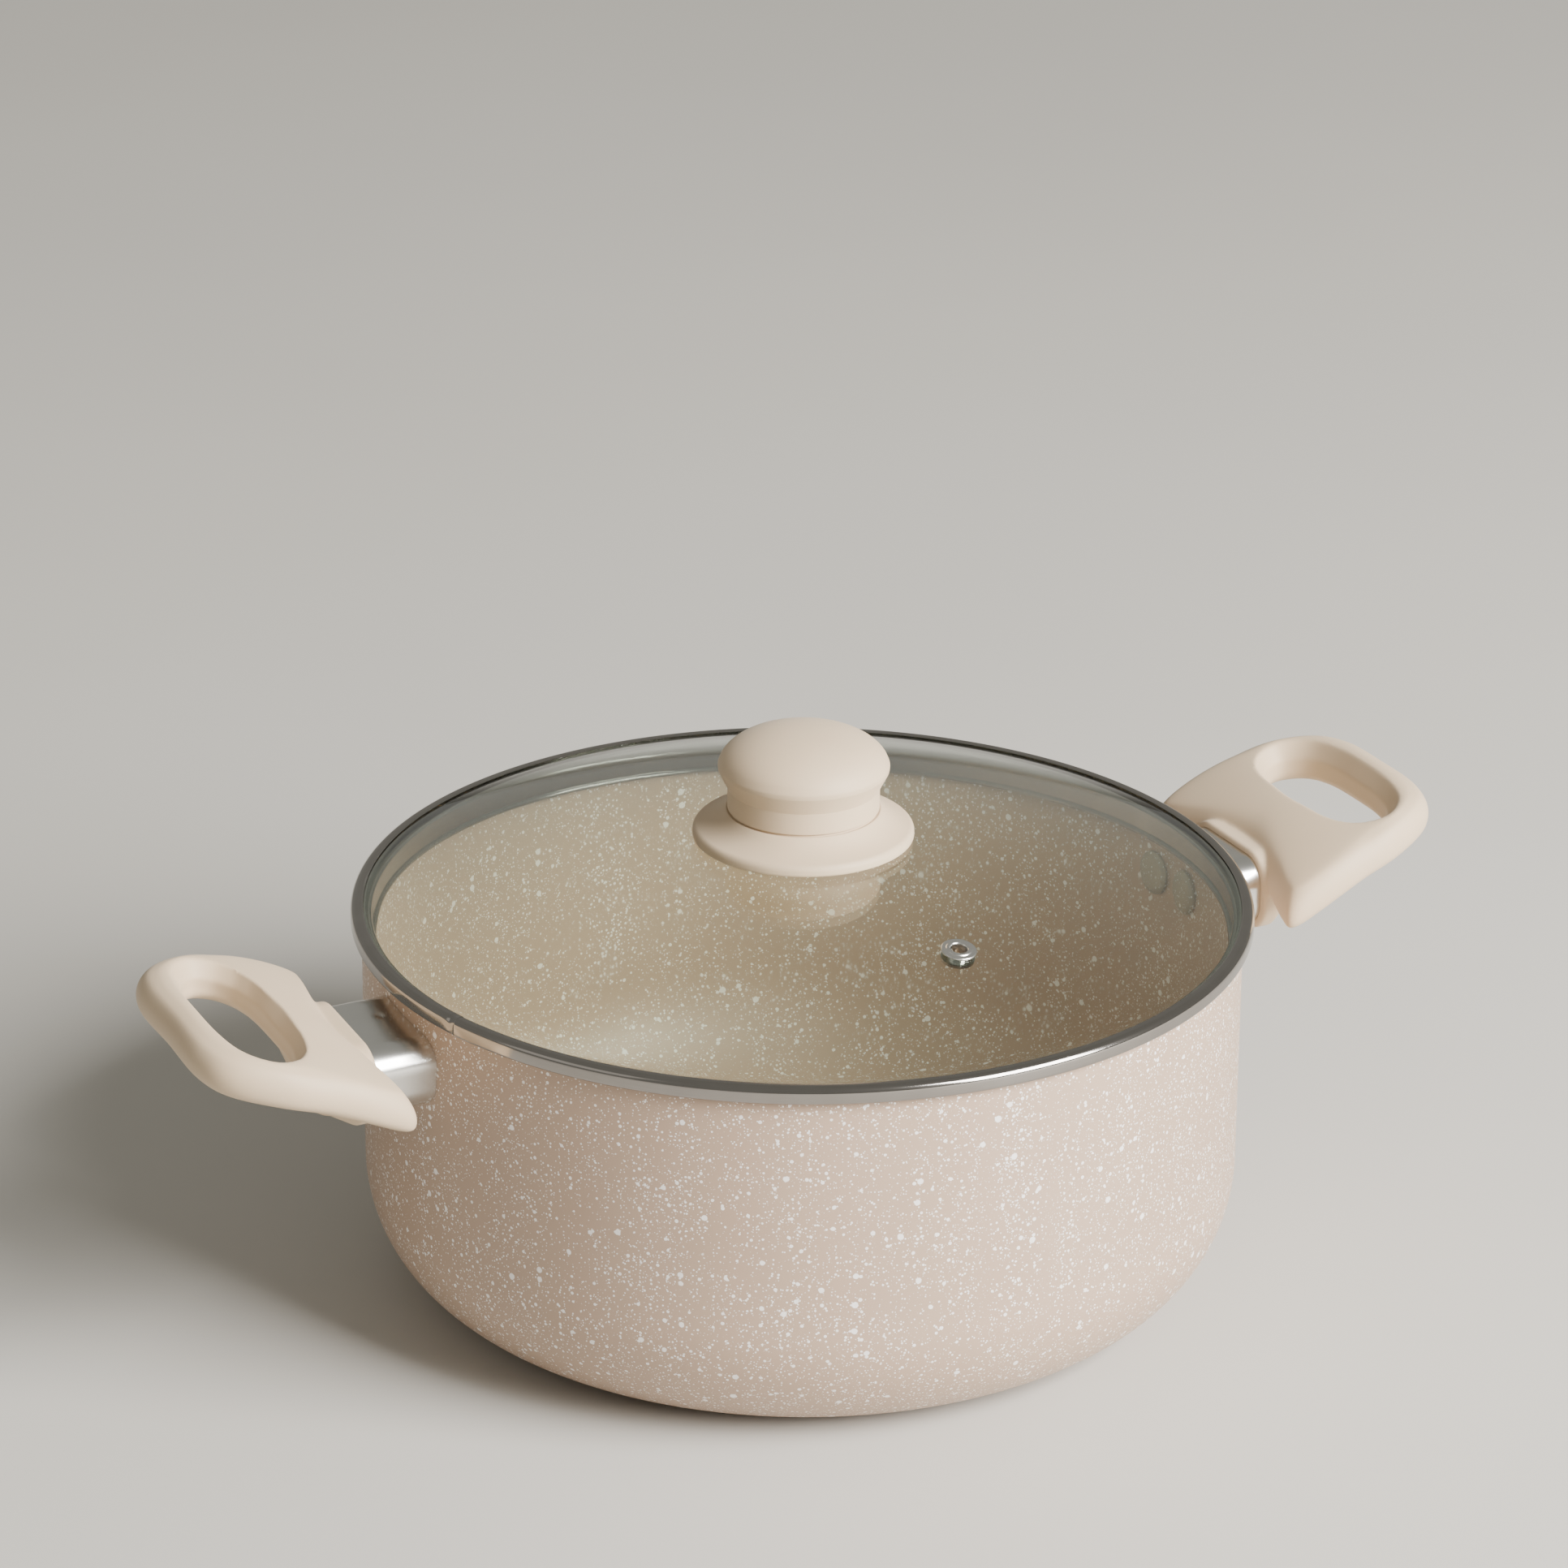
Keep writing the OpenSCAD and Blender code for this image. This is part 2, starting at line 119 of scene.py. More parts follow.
SLEEVE_Z = 92.0
SLEEVE_W = 36.0
SLEEVE_H = 20.5
SLEEVE_ROUND = 7.5
SLEEVE_T = 0.8
COLLAR_U = POT_R + 16.5
SLEEVE_END = COLLAR_U + 2.2
HANDLE_L = 53.5
TANG_END = top_of("right_bracket").x
TIP_U = COLLAR_U + HANDLE_L
WING_W = 41.5
GRIP_T = 12.0
GRIP_RISE = 15.5
GRIP_CROWN = 2.8
LEFT_TWIST = math.radians(5.5)
SOCKET_PLAY = 0.1
COLLAR_W = SLEEVE_W + SOCKET_PLAY + 5.6
COLLAR_H = SLEEVE_H + SOCKET_PLAY + 3.2
COLLAR_ROUND = SLEEVE_ROUND + 2.8
HUB_END = COLLAR_U + 19
TANG_Z = SLEEVE_Z - 6.5
TANG_SLOT_W = 18.1
TANG_SLOT_T = 3.1
SCREW_U = SLEEVE_END + 2.9
SCREW_HOLE_R = 2.05
SCREW_HEAD_HOLE_R = 3.5
SCREW_HEAD_HOLE = 2.4
BOSS_R = 5.0

RIVET_TURN = math.asin(8.5 / POT_R)
RIVET_R = 6.2
SHANK_R = 3.0
TAIL_R = 4.2
TAIL_FROM = WALL + 2
TAIL_END = WALL + 3.1

ROUND_STEPS = 256
RIVET_STEPS = 64
VENT_STEPS = 72
BAR_STEPS = 48


# Shapes -----------------------------------------------------------------------------------

def dome_z(r):
    """Height of the outside of the glass dome at radius r."""
    return SPHERE_Z + math.sqrt(SPHERE_R**2 - r**2)


def under_dome_z(r):
    """Height of the inside of the glass dome at radius r."""
    return SPHERE_Z + math.sqrt((SPHERE_R - GLASS) ** 2 - r**2)


def rounded(corners, closed=True, step=0.22):
    """Outline through corners (x, y, radius), each corner turned into an arc of that radius."""
    points = []
    count = len(corners)
    for i, (x, y, radius) in enumerate(corners):
        here = Vector((x, y))
        if radius <= 0 or (not closed and i in (0, count - 1)):
            points.append(here)
            continue
        back = (Vector(corners[i - 1][:2]) - here).normalized()
        ahead = (Vector(corners[(i + 1) % count][:2]) - here).normalized()
        half = math.acos(max(-1.0, min(1.0, back.dot(ahead)))) / 2
        if abs(math.pi / 2 - half) < NEARLY_STRAIGHT:
            points.append(here)
            continue
        centre = here + (back + ahead).normalized() * (radius / math.sin(half))
        start = here + back * (radius / math.tan(half))
        end = here + ahead * (radius / math.tan(half))
        first = math.atan2(start.y - centre.y, start.x - centre.x)
        turn = math.atan2(end.y - centre.y, end.x - centre.x) - first
        turn = (turn + math.pi) % TAU - math.pi
        steps = max(3, math.ceil(abs(turn) / step))
        for k in range(steps + 1):
            angle = first + turn * k / steps
            points.append(centre + Vector((math.cos(angle), math.sin(angle))) * radius)
    return [(p.x, p.y) for p in points]


def strip(path, thickness):
    """Closed outline of sheet metal that follows an open path of (x, y)."""
    sides = ([], [])
    for i, p in enumerate(path):
        a = Vector(path[max(0, i - 1)])
        b = Vector(path[min(len(path) - 1, i + 1)])
        along = (b - a).normalized()
        normal = Vector((-along.y, along.x)) * thickness / 2
        sides[0].append(tuple(Vector(p) + normal))
        sides[1].append(tuple(Vector(p) - normal))
    return sides[0] + sides[1][::-1]


def spline(points, count):
    """A closed smooth curve through points, as count points."""
    n = len(points)
    size = len(points[0])
    made = []
    for k in range(count):
        t = k * n / count
        i = int(t)
        f = t - i
        a, b, c, d = (points[(i + j) % n] for j in (-1, 0, 1, 2))
        made.append([
            0.5 * (2 * b[m] + (c[m] - a[m]) * f + (2 * a[m] - 5 * b[m] + 4 * c[m] - d[m]) * f * f
                   + (3 * b[m] - a[m] - 3 * c[m] + d[m]) * f**3)
            for m in range(size)
        ])
    return made


def new_piece(name, bm):
    """A mesh object from bm, whose coordinates are millimetres."""
    bmesh.ops.remove_doubles(bm, verts=bm.verts, dist=SAME_POINT)
    bmesh.ops.recalc_face_normals(bm, faces=bm.faces)
    bmesh.ops.scale(bm, vec=(MM, MM, MM), verts=bm.verts)
    mesh = bpy.data.meshes.new(name)
    bm.to_mesh(mesh)
    bm.free()
    piece = bpy.data.objects.new(name, mesh)
    bpy.context.scene.collection.objects.link(piece)
    return piece


def smooth(piece, angle=32):
    """Smooth shading with edges sharper than angle left crisp."""
    piece.data.polygons.foreach_set("use_smooth", [True] * len(piece.data.polygons))
    piece.data.set_sharp_from_angle(angle=math.radians(angle))
    return piece


def grid_faces(bm, rows, close_rows=True, close_columns=True):
    """Faces between rows of vertices, each row as long as the next."""
    n, m = len(rows), len(rows[0])
    for i in range(n if close_rows else n - 1):
        for j in range(m if close_columns else m - 1):
            row, after, k = rows[i], rows[(i + 1) % n], (j + 1) % m
            kept = list(dict.fromkeys([row[j], after[j], after[k], row[k]]))
            if len(kept) > 2 and bm.faces.get(kept) is None:
                bm.faces.new(kept)


def full_turn(steps=ROUND_STEPS):
    """Angles all the way round, in equal steps."""
    return [TAU * k / steps for k in range(steps)]


def add_turned(bm, outline, angles, place=None, bulge=None):
    """Adds a turned skin of a closed (radius, height) outline. bulge(angle, r, z) gives an offset (dr, dz)."""
    poles = {}
    rows = []
    for angle in angles:
        row = []
        for index, (r, z) in enumerate(outline):
            if r < ON_AXIS and index in poles:
                row.append(poles[index])
                continue
            dr, dz = bulge(angle, r, z) if bulge and r >= ON_AXIS else (0.0, 0.0)
            point = Vector(((r + dr) * math.cos(angle), (r + dr) * math.sin(angle), z + dz))
            vert = bm.verts.new(point if place is None else place @ point)
            if r < ON_AXIS:
                poles[index] = vert
            row.append(vert)
        rows.append(row)
    grid_faces(bm, rows)


def lathe(name, outline, angles=None, bulge=None):
    """A piece turned round the middle axis."""
    bm = bmesh.new()
    add_turned(bm, outline, angles or full_turn(), bulge=bulge)
    return new_piece(name, bm)


def loft(bm, sections):
    """A closed skin over sections, each a ring of as many points, with flat ends."""
    rows = [[bm.verts.new(p) for p in ring] for ring in sections]
    grid_faces(bm, rows, close_rows=False)
    bm.faces.new(rows[0][::-1])
    bm.faces.new(rows[-1])


def rounded_box(width, height, radius, step):
    """Outline of a rectangle with rounded corners."""
    signs = ((1, 1), (-1, 1), (-1, -1), (1, -1))
    return rounded([(sx * width / 2, sz * height / 2, radius) for sx, sz in signs], step=step)


def bar_ring(u, width, height, radius, z):
    """A rounded rectangle across the line of a handle, at distance u from the middle of the pot."""
    return [(u, y, z + h) for y, h in rounded_box(width, height, radius, 0.1)]


def round_bar(bm, u, radius, z0, z1, soft=0.0):
    """An upright round bar at distance u, its lower edge softened."""
    rings = [(radius - soft, z0), (radius - 0.3 * soft, z0 + 0.3 * soft), (radius, z0 + soft), (radius, z1)]
    loft(bm, [[(u + r * math.cos(a), r * math.sin(a), z) for a in full_turn(BAR_STEPS)] for r, z in rings])


def apply_modifier(piece, kind, **settings):
    """Adds a modifier and bakes its result into the mesh."""
    modifier = piece.modifiers.new(kind.title(), kind)
    for key, value in settings.items():
        setattr(modifier, key, value)
    bpy.context.view_layer.update()
    shaped = piece.evaluated_get(bpy.context.evaluated_depsgraph_get())
    mesh = bpy.data.meshes.new_from_object(shaped)
    piece.modifiers.clear()
    piece.data = mesh
    return piece


def cut(piece, tool):
    """Cuts tool out of piece and removes tool."""
    apply_modifier(piece, "BOOLEAN", operation="DIFFERENCE", object=tool, solver="EXACT")
    bpy.data.objects.remove(tool)
    return piece


def to_side(left):
    """Placement of a piece drawn for the right side: the left one is turned over and twisted a little."""
    if not left:
        return Matrix.Identity(4)
    middle = Matrix.Translation((0, 0, SLEEVE_Z * MM))
    turned_over = Matrix.Rotation(math.pi, 4, "Z") @ middle
    return turned_over @ Matrix.Rotation(-LEFT_TWIST, 4, "X") @ middle.inverted()


# Materials --------------------------------------------------------------------------------

def node_of(tree, kind, values=None, **settings):
    """Adds a node; values sets its inputs by name or index, and a value may be another node's output."""
    made = tree.nodes.new(kind)
    for key, value in settings.items():
        setattr(made, key, value)
    for key, value in (values or {}).items():
        socket = made.inputs[key]
        if isinstance(value, bpy.types.NodeSocket):
            tree.links.new(value, socket)
        else:
            socket.default_value = value
    return made


def math_of(tree, operation, *values, clamp=False):
    """The result of a math node."""
    made = node_of(tree, "ShaderNodeMath", dict(enumerate(values)), operation=operation, use_clamp=clamp)
    return made.outputs[0]


def mix_of(tree, share, first, second):
    """A blend of two colours by share."""
    made = node_of(tree, "ShaderNodeMix", {0: share, 6: first, 7: second}, data_type="RGBA", blend_type="MIX")
    return made.outputs[2]


def new_group(name, inputs, outputs):
    """An empty node group with float or vector inputs. Gives its tree, its input and its output node."""
    tree = bpy.data.node_groups.new(name, "ShaderNodeTree")
    for label, kind, value in inputs:
        socket = tree.interface.new_socket(label, in_out="INPUT", socket_type="NodeSocket" + kind)
        if value is not None:
            socket.default_value = value
    for label in outputs:
        tree.interface.new_socket(label, in_out="OUTPUT", socket_type="NodeSocketFloat")
    return tree, tree.nodes.new("NodeGroupInput"), tree.nodes.new("NodeGroupOutput")


def make_speckle_group():
    """Round drops of paint, one size class: a mask of them."""
    tree, given, out = new_group("Paint drops", [
        ("Vector", "Vector", None), ("Spacing", "Float", 3.0), ("Drop", "Float", 0.2),
        ("Share", "Float", 0.5), ("Ragged", "Float", 0.1), ("Seed", "Float", 0.0),
    ], ["Mask"])
    scale = math_of(tree, "DIVIDE", 1.0, given.outputs["Spacing"])
    cells = node_of(tree, "ShaderNodeVectorMath", {0: given.outputs["Vector"], 3: scale}, operation="SCALE")
    shift = node_of(tree, "ShaderNodeVectorMath", {0: cells.outputs[0], 1: given.outputs["Seed"]})
    wobble = node_of(tree, "ShaderNodeTexNoise", {"Vector": shift.outputs[0], "Scale": 4.0, "Detail": 2.0})
    centred = node_of(tree, "ShaderNodeVectorMath", {0: wobble.outputs["Color"], 1: (0.5, 0.5, 0.5)},
                      operation="SUBTRACT")
    nudge = node_of(tree, "ShaderNodeVectorMath", {0: centred.outputs[0], 3: given.outputs["Ragged"]},
                    operation="SCALE")
    place = node_of(tree, "ShaderNodeVectorMath", {0: shift.outputs[0], 1: nudge.outputs[0]})
    voronoi = node_of(tree, "ShaderNodeTexVoronoi", {"Vector": place.outputs[0], "Scale": 1.0})
    pick = node_of(tree, "ShaderNodeSeparateColor", {0: voronoi.outputs["Color"]})
    size = math_of(tree, "MULTIPLY_ADD", pick.outputs[1], 0.9, 0.35)
    reach = math_of(tree, "MULTIPLY", size, given.outputs["Drop"])
    inside = math_of(tree, "SUBTRACT", reach, voronoi.outputs["Distance"])
    crisp = math_of(tree, "MULTIPLY", inside, 26.0, clamp=True)
    kept = math_of(tree, "LESS_THAN", pick.outputs[0], given.outputs["Share"])
    tree.links.new(math_of(tree, "MULTIPLY", crisp, kept), out.inputs["Mask"])
    return tree


def make_grain_group():
    """Fine uneven grain of a moulded or sprayed surface: a height and a slow shade."""
    tree, given, out = new_group("Fine grain", [
        ("Vector", "Vector", None), ("Grain", "Float", 0.3), ("Patch", "Float", 25.0),
    ], ["Height", "Shade"])
    fine = node_of(tree, "ShaderNodeTexNoise", {
        "Vector": given.outputs["Vector"], "Scale": math_of(tree, "DIVIDE", 1.0, given.outputs["Grain"]),
        "Detail": 3.0, "Roughness": 0.6,
    })
    slow = node_of(tree, "ShaderNodeTexNoise", {
        "Vector": given.outputs["Vector"], "Scale": math_of(tree, "DIVIDE", 1.0, given.outputs["Patch"]),
        "Detail": 2.0,
    })
    tree.links.new(fine.outputs[0], out.inputs["Height"])
    tree.links.new(slow.outputs[0], out.inputs["Shade"])
    return tree


def make_wear_group():
    """Rubbed edges: a mask of the convex edges, broken up by noise."""
    tree, given, out = new_group("Rubbed edges", [
        ("Vector", "Vector", None), ("From", "Float", 0.53), ("To", "Float", 0.62), ("Patch", "Float", 6.0),
    ], ["Mask"])
    shape = tree.nodes.new("ShaderNodeNewGeometry")
    edge = node_of(tree, "ShaderNodeMapRange", {
        "Value": shape.outputs["Pointiness"],
        "From Min": given.outputs["From"], "From Max": given.outputs["To"],
    })
    noise = node_of(tree, "ShaderNodeTexNoise", {
        "Vector": given.outputs["Vector"], "Scale": math_of(tree, "DIVIDE", 1.0, given.outputs["Patch"]),
        "Detail": 4.0,
    })
    rough = math_of(tree, "MULTIPLY_ADD", noise.outputs[0], 1.6, -0.3, clamp=True)
    tree.links.new(math_of(tree, "MULTIPLY", edge.outputs[0], rough, clamp=True), out.inputs["Mask"])
    return tree


def make_brushed_group():
    """Polishing lines round the middle axis: a height and a roughness share."""
    tree, given, out = new_group("Polishing lines", [
        ("Vector", "Vector", None), ("Along", "Float", 12.0), ("Across", "Float", 0.12),
    ], ["Height", "Rough"])
    parts = node_of(tree, "ShaderNodeSeparateXYZ", {0: given.outputs["Vector"]})
    turn = math_of(tree, "ARCTAN2", parts.outputs[1], parts.outputs[0])
    plan = node_of(tree, "ShaderNodeCombineXYZ", {0: parts.outputs[0], 1: parts.outputs[1]})
    reach = node_of(tree, "ShaderNodeVectorMath", {0: plan.outputs[0]}, operation="LENGTH")
    round_way = math_of(tree, "MULTIPLY", turn, reach.outputs["Value"])
    lines = node_of(tree, "ShaderNodeCombineXYZ", {
        0: math_of(tree, "DIVIDE", round_way, given.outputs["Along"]),
        1: math_of(tree, "DIVIDE", parts.outputs[2], given.outputs["Across"]),
        2: math_of(tree, "DIVIDE", reach.outputs["Value"], given.outputs["Across"]),
    })
    noise = node_of(tree, "ShaderNodeTexNoise", {"Vector": lines.outputs[0], "Scale": 1.0, "Detail": 3.0})
    smear = node_of(tree, "ShaderNodeTexNoise", {
        "Vector": given.outputs["Vector"], "Scale": 0.09, "Detail": 3.0,
    })
    tree.links.new(noise.outputs[0], out.inputs["Height"])
    tree.links.new(math_of(tree, "MULTIPLY", noise.outputs[0], smear.outputs[0]), out.inputs["Rough"])
    return tree


DROPS = make_speckle_group()
GRAIN = make_grain_group()
WEAR = make_wear_group()
BRUSHED = make_brushed_group()


def start_material(name, **plain):
    """A material with one Principled shader. Gives the material, its tree, the shader and millimetres."""
    material = bpy.data.materials.new(name)
    material.use_nodes = True
    tree = material.node_tree
    shader = tree.nodes["Principled BSDF"]
    for key, value in plain.items():
        shader.inputs[key.replace("_", " ")].default_value = value
    where = tree.nodes.new("ShaderNodeTexCoord")
    scaled = node_of(tree, "ShaderNodeVectorMath", {0: where.outputs["Object"], 3: 1 / MM}, operation="SCALE")
    return material, tree, shader, scaled.outputs[0]


def place_group(tree, group, **values):
    """A node group placed in a material, with its own values."""
    return node_of(tree, "ShaderNodeGroup", values, node_tree=group)


def add_bump(tree, shader, height, strength, distance):
    """Drives the shader's normal with a height in millimetres."""
    bump = node_of(tree, "ShaderNodeBump", {
        "Height": height, "Strength": strength, "Distance": distance * MM,
    })
    tree.links.new(bump.outputs[0], shader.inputs["Normal"])


def set_roughness(tree, shader, share, spread, least):
    """Drives the shader's roughness: least, and spread more where share is 1."""
    tree.links.new(math_of(tree, "MULTIPLY_ADD", share, spread, least), shader.inputs["Roughness"])


# Paint drops by size class: spacing, drop size, share of places taken, cover, seed
DROP_LAYERS = [
    (4.2, 0.21, 0.60, 1.0, 3.0), (2.0, 0.24, 1.0, 1.0, 11.0),
    (1.15, 0.26, 1.0, 1.0, 29.0), (0.70, 0.27, 0.85, 0.9, 47.0),
]
PAINT = (0.92, 0.89, 0.86, 1)
RUBBED_COAT = (0.62, 0.52, 0.43, 1)
RUBBED_SOFT = (0.68, 0.55, 0.44, 1)
RUBBED_METAL = (0.86, 0.85, 0.83, 1)


def speckled_coat(name, low, high):
    """Satin coat with white paint drops of four sizes; its ground runs from the low to the high colour."""
    material, tree, shader, mm = start_material(
        name, Specular_IOR_Level=0.5, Coat_Weight=0.18, Coat_Roughness=0.32, Coat_IOR=1.45,
    )
    grain = place_group(tree, GRAIN, Vector=mm, Grain=0.35, Patch=38.0)
    crowd = node_of(tree, "ShaderNodeTexNoise", {"Vector": mm, "Scale": 0.055, "Detail": 2.0})
    density = node_of(tree, "ShaderNodeMapRange", {
        "Value": crowd.outputs[0], "From Min": 0.32, "From Max": 0.68, "To Min": 0.5, "To Max": 1.0,
    })
    drops = None
    for spacing, drop, share, cover, seed in DROP_LAYERS:
        part = place_group(
            tree, DROPS, Vector=mm, Spacing=spacing, Drop=drop, Ragged=0.12, Seed=seed,
            Share=math_of(tree, "MULTIPLY", density.outputs[0], share),
        )
        mask = math_of(tree, "MULTIPLY", part.outputs["Mask"], cover)
        drops = mask if drops is None else math_of(tree, "MAXIMUM", drops, mask)
    base = mix_of(tree, grain.outputs["Shade"], low, high)
    colour = mix_of(tree, math_of(tree, "MULTIPLY", drops, 0.88), base, PAINT)
    wear = place_group(tree, WEAR, Vector=mm, Patch=5.0)
    colour = mix_of(tree, math_of(tree, "MULTIPLY", wear.outputs["Mask"], 0.25), colour, RUBBED_COAT)
    tree.links.new(colour, shader.inputs["Base Color"])
    rough = math_of(tree, "MULTIPLY_ADD", grain.outputs["Shade"], 0.12, 0.40)
    rough = math_of(tree, "MULTIPLY_ADD", drops, -0.06, rough)
    tree.links.new(rough, shader.inputs["Roughness"])
    grain_height = math_of(tree, "MULTIPLY", grain.outputs["Height"], 0.4)
    height = math_of(tree, "MULTIPLY_ADD", drops, 0.75, grain_height)
    add_bump(tree, shader, height, 0.35, 0.05)
    return material


def soft_touch():
    """Cream soft-touch moulding: matt, with a very fine grain."""
    material, tree, shader, mm = start_material(
        "soft_touch", Specular_IOR_Level=0.42, Sheen_Weight=0.10, Sheen_Roughness=0.5,
    )
    grain = place_group(tree, GRAIN, Vector=mm, Grain=0.22, Patch=18.0)
    base = mix_of(tree, grain.outputs["Shade"], (0.560, 0.425, 0.280, 1), (0.600, 0.465, 0.315, 1))
    wear = place_group(tree, WEAR, Vector=mm, Patch=4.0)
    colour = mix_of(tree, math_of(tree, "MULTIPLY", wear.outputs["Mask"], 0.35), base, RUBBED_SOFT)
    tree.links.new(colour, shader.inputs["Base Color"])
    set_roughness(tree, shader, grain.outputs["Height"], 0.14, 0.50)
    add_bump(tree, shader, grain.outputs["Height"], 0.22, 0.03)
    return material


def metal(name, colour, dark, rough, along, across, relief):
    """Bare metal with polishing lines, slight smears and rubbed edges."""
    material, tree, shader, mm = start_material(name, Metallic=1.0)
    lines = place_group(tree, BRUSHED, Vector=mm, Along=along, Across=across)
    wear = place_group(tree, WEAR, Vector=mm, Patch=3.0)
    shade = math_of(tree, "MULTIPLY", lines.outputs["Rough"], 1.6, clamp=True)
    base = mix_of(tree, shade, colour + (1,), dark + (1,))
    base = mix_of(tree, math_of(tree, "MULTIPLY", wear.outputs["Mask"], 0.3), base, RUBBED_METAL)
    tree.links.new(base, shader.inputs["Base Color"])
    set_roughness(tree, shader, lines.outputs["Rough"], rough, rough)
    add_bump(tree, shader, lines.outputs["Height"], relief, 0.02)
    return material


def silicone():
    """Milky white silicone of the pad under the knob."""
    material, tree, shader, mm = start_material("silicone", Subsurface_Weight=0.2, Subsurface_Scale=0.002)
    grain = place_group(tree, GRAIN, Vector=mm, Grain=0.5, Patch=8.0)
    base = mix_of(tree, grain.outputs["Shade"], (0.72, 0.72, 0.69, 1), (0.80, 0.80, 0.77, 1))
    tree.links.new(base, shader.inputs["Base Color"])
    set_roughness(tree, shader, grain.outputs["Height"], 0.1, 0.38)
    add_bump(tree, shader, grain.outputs["Height"], 0.2, 0.04)
    return material


def lid_glass():
    """Clear tempered glass, faintly green, with wiping marks. Lamps shine through it, dimmed and tinted to
    about 0.4, which paints shade on the inside of the pot.
    """
    material, tree, shader, mm = start_material(
        "lid_glass", IOR=1.5, Transmission_Weight=1.0, Metallic=0.0,
    )
    tint = node_of(tree, "ShaderNodeTexNoise", {"Vector": mm, "Scale": 0.02, "Detail": 2.0})
    colour = mix_of(tree, tint.outputs[0], (0.865, 0.94, 0.87, 1), (0.885, 0.955, 0.89, 1))
    tree.links.new(colour, shader.inputs["Base Color"])
    wipe = node_of(tree, "ShaderNodeTexNoise", {
        "Vector": mm, "Scale": 0.05, "Detail": 5.0, "Distortion": 1.5,
    })
    haze = node_of(tree, "ShaderNodeMapRange", {
        "Value": wipe.outputs[0], "From Min": 0.45, "From Max": 0.8, "To Min": 0.0, "To Max": 0.05,
    })
    tree.links.new(haze.outputs[0], shader.inputs["Roughness"])
    add_bump(tree, shader, wipe.outputs[0], 0.02, 0.1)
    lamps = tree.nodes.new("ShaderNodeLightPath")
    # Shadow rays pass through dimmed and tinted to about 0.4: painted shade on the inside of the pot, darker
    # than clear glass would cast.
    clear = node_of(tree, "ShaderNodeBsdfTransparent", {0: (0.40, 0.39, 0.34, 1)})
    mixed = node_of(tree, "ShaderNodeMixShader", {
        0: lamps.outputs["Is Shadow Ray"], 1: shader.outputs[0], 2: clear.outputs[0],
    })
    tree.links.new(mixed.outputs[0], tree.nodes["Material Output"].inputs["Surface"])
    return material


def studio_floor():
    """Pale matt floor with a breath of mottling."""
    material, tree, shader, mm = start_material("studio_floor", Roughness=0.7, Specular_IOR_Level=0.3)
    noise = node_of(tree, "ShaderNodeTexNoise", {"Vector": mm, "Scale": 0.004, "Detail": 3.0})
    colour = mix_of(tree, noise.outputs[0], (0.50, 0.48, 0.44, 1), (0.54, 0.52, 0.48, 1))
    tree.links.new(colour, shader.inputs["Base Color"])
    return material


COAT = speckled_coat("speckled_coat", (0.400, 0.278, 0.196, 1), (0.450, 0.322, 0.234, 1))
RIVET_COAT = speckled_coat("rivet_coat", (0.315, 0.265, 0.195, 1), (0.355, 0.300, 0.225, 1))
SOFT = soft_touch()
# Steel of the band and of the CAD parts in the polished_steel slot: the steel's own tone, darkened well below
# bright steel as a painted dark reflection that the pale floor does not give.
STEEL_WITH_PAINTED_DARK_REFLECTION = metal("polished_steel", (0.35, 0.33, 0.31), (0.27, 0.25, 0.23), 0.11, 14.0, 0.10, 0.10)
# Steel of the sleeves and the vent: the steel's own tone, raised above the band's as a painted pale
# reflection.
STEEL_WITH_PAINTED_PALE_REFLECTION = metal("steel_with_painted_pale_reflection", (0.76, 0.75, 0.72), (0.66, 0.65, 0.61), 0.19, 14.0, 0.12, 0.15)
PLAIN = metal("plain_steel", (0.56, 0.56, 0.55), (0.42, 0.42, 0.41), 0.28, 5.0, 0.20, 0.25)
BRASS = metal("turned_brass", (0.78, 0.58, 0.26), (0.62, 0.44, 0.18), 0.22, 30.0, 0.25, 0.25)
SILICONE = silicone()
GLASS_LOOK = lid_glass()

FINISH = {
    "speckled_coat": COAT, "soft_touch": SOFT, "polished_steel": STEEL_WITH_PAINTED_DARK_REFLECTION, "plain_steel": PLAIN,
    "brass": BRASS, "silicone": SILICONE, "lid_glass": GLASS_LOOK,
}


def finish_piece(piece, body, slot, *stands_for, look=None):
    """Gives a new piece its material (the slot's finish unless a look is given) and its body, and hides the
    CAD nodes it stands for.
    """
    piece.data.materials.clear()
    piece.data.materials.append(look or FINISH[slot])
    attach(piece, body)
    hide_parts(*stands_for)
    return piece


# Pot --------------------------------------------------------------------------------------

def make_pot():
    """Pressed pot: flat base with a shallow step, big corner, straight wall, rounded rim."""
    outline = rounded([
        (0, RECESS, 0), (RECESS_R, RECESS, 0.8), (BASE_RING_R, 0, 0.8), (POT_R, 0, CORNER_R),
        (POT_R, POT_H, RIM_ROUND), (INNER_R, POT_H, RIM_ROUND),
        (INNER_R, BASE, CORNER_R - WALL), (0, BASE, 0),
    ], step=0.05)
    finish_piece(smooth(lathe("pot_shell", outline), 50), "pot", "speckled_coat", "pan_body")


